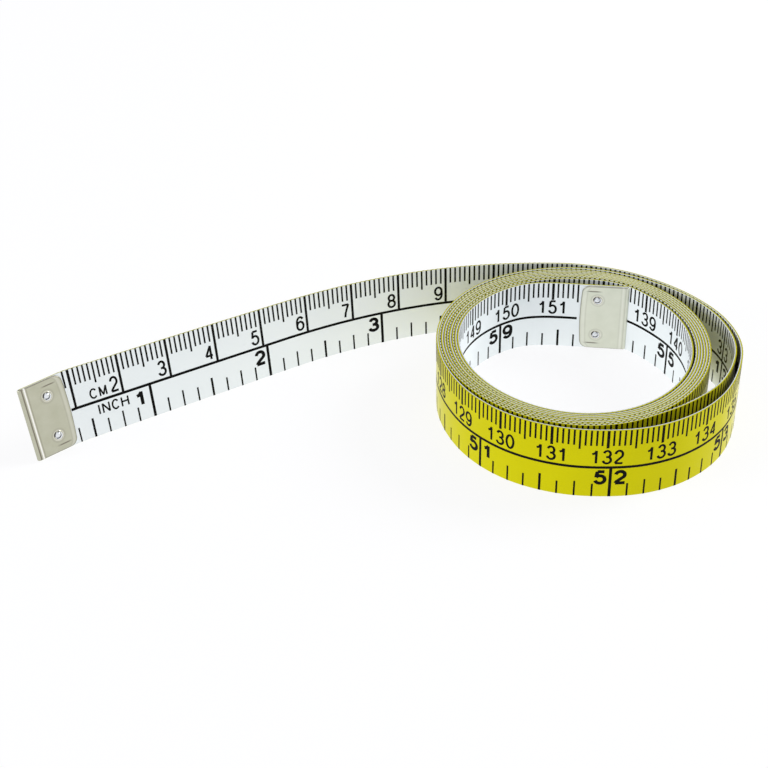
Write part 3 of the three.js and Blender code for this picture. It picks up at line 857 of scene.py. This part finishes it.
def rivet(name, tag, middle_up):
    """Both heads of one rivet, turned profiles on the two faces of the tag."""
    towards = tag["towards"]
    middle = tag["fold"] + towards * tag["rivets"]
    points, faces, corners = [], [], []
    around = np.radians(np.arange(0, 360, 15))
    for side in (-1, 1):
        first = len(points)
        base = BAND_HALF + TAG_RISE
        for radius, rise in RIVET_PROFILE[:-1]:
            for a in around:
                along, up = middle + towards * radius * np.cos(a), middle_up + radius * np.sin(a)
                points.append((along, side * (base + rise - RIVET_SINK), up))
        points.append((middle, side * (base + RIVET_PROFILE[-1][1] - RIVET_SINK), middle_up))
        points.append((middle, side * (base - RIVET_BACK_SINK), middle_up))
        k = len(around)
        turn = -side * towards
        for i in range(len(RIVET_PROFILE) - 2):
            for j in range(k):
                a, b = first + i * k + j, first + i * k + (j + 1) % k
                faces.append((a, b, b + k, a + k)[::turn])
        rim = first + (len(RIVET_PROFILE) - 2) * k
        top_point, back_point = len(points) - 2, len(points) - 1
        for j in range(k):
            faces.append((rim + j, rim + (j + 1) % k, top_point)[::turn])
            faces.append((first + (j + 1) % k, first + j, back_point)[::turn])
    spots = np.array(points)
    for face in faces:
        corners += [(spots[i, 0] - middle, spots[i, 2] - middle_up) for i in face]
    made = finished(name, place(*spots.T), faces, np.zeros(len(faces)), (rivet_metal,),
                    {"rivet_mm": corners})
    made.data.shade_smooth()
    return made


for end_name, body in (("start", "lead_tip"), ("end", "coil")):
    for where, offset in (("upper", RIVET_STEP / 2), ("lower", -RIVET_STEP / 2)):
        middle_up = TAGS[end_name]["foot"] + TAG_HEIGHT / 2 + offset
        head = rivet(f"{end_name}_rivet_{where}", TAGS[end_name], middle_up)
        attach(head, body)
        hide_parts(f"{end_name}_tag_rivet_{where}")


# Table and light
# A white table in a white light tent, with a small round softbox on each side. The table throws up more
# light than the tent throws down. Both look white, with only a faint shadow under the tape.
TABLE_HALF = 2
TABLE_BELOW = 0.00003
TABLE_WHITE = "#f2f2f2"
TABLE_GLOW = 1.08
TENT_WHITE = "#fbfcff"
TENT_LIGHT = 0.54
SOFTBOX_SIZE = 0.4
SOFTBOXES = {"left": ((-0.72, -0.2, 0.3), 1.8), "right": ((0.68, 0.22, 0.45), 3.2)}
SHADOW_SHARE = 0.2
TABLE_BOUNCE = 1.4
BOUNCE_WHITE = "#fffffb"
BACKGROUND = "#fdfdfe"


def white_to_camera(tree, seen, other):
    """A mix of two shaders: seen by camera, glossy and transmission rays, other for the rest."""
    path = add(tree, "ShaderNodeLightPath")
    share = path.outputs["Is Camera Ray"]
    for kind in ("Is Glossy Ray", "Is Transmission Ray"):
        either = add(tree, "ShaderNodeMath", {0: share, 1: path.outputs[kind]}, operation="MAXIMUM")
        share = either.outputs[0]
    return add(tree, "ShaderNodeMixShader", {0: share, 1: other, 2: seen})


table_mesh = bpy.data.meshes.new("table")
table_corners = np.array([(-1, -1, 0), (1, -1, 0), (1, 1, 0), (-1, 1, 0)]) * TABLE_HALF
table_mesh.from_pydata((table_corners - (0, 0, TABLE_BELOW)).tolist(), [], [(0, 1, 2, 3)])
table = bpy.data.objects.new("table", table_mesh)
bpy.context.scene.collection.objects.link(table)
table_white, tree = blank_material("white_table_laminate")
paint = add(tree, "ShaderNodeBsdfDiffuse", {"Color": linear(TABLE_WHITE)})
glow = add(tree, "ShaderNodeEmission", {"Color": linear(BACKGROUND), "Strength": TABLE_GLOW})
shaded = add(tree, "ShaderNodeMixShader", {0: SHADOW_SHARE, 1: glow.outputs[0], 2: paint.outputs[0]})
bounce = add(tree, "ShaderNodeEmission", {"Color": linear(BOUNCE_WHITE), "Strength": TABLE_BOUNCE})
surface = white_to_camera(tree, shaded.outputs[0], bounce.outputs[0])
add(tree, "ShaderNodeOutputMaterial", {"Surface": surface.outputs[0]})
table_mesh.materials.append(table_white)

world = bpy.data.worlds.new("tent")
world.use_nodes = True
tree = world.node_tree
tree.nodes.clear()
tent = add(tree, "ShaderNodeBackground", {"Color": linear(TENT_WHITE), "Strength": TENT_LIGHT})
backdrop = add(tree, "ShaderNodeBackground", {"Color": linear(BACKGROUND), "Strength": 1.0})
sky = white_to_camera(tree, backdrop.outputs[0], tent.outputs[0])
add(tree, "ShaderNodeOutputWorld", {"Surface": sky.outputs[0]})
bpy.context.scene.world = world

for side, (where, watts) in SOFTBOXES.items():
    lamp = bpy.data.objects.new(f"softbox_{side}", bpy.data.lights.new(f"softbox_{side}", "AREA"))
    lamp.data.shape = "DISK"
    lamp.data.size = SOFTBOX_SIZE
    lamp.data.energy = watts
    lamp.location = where
    lamp.rotation_euler = (-Vector(where)).to_track_quat("-Z", "Y").to_euler()
    bpy.context.scene.collection.objects.link(lamp)
bpy.context.scene.view_settings.view_transform = "Standard"
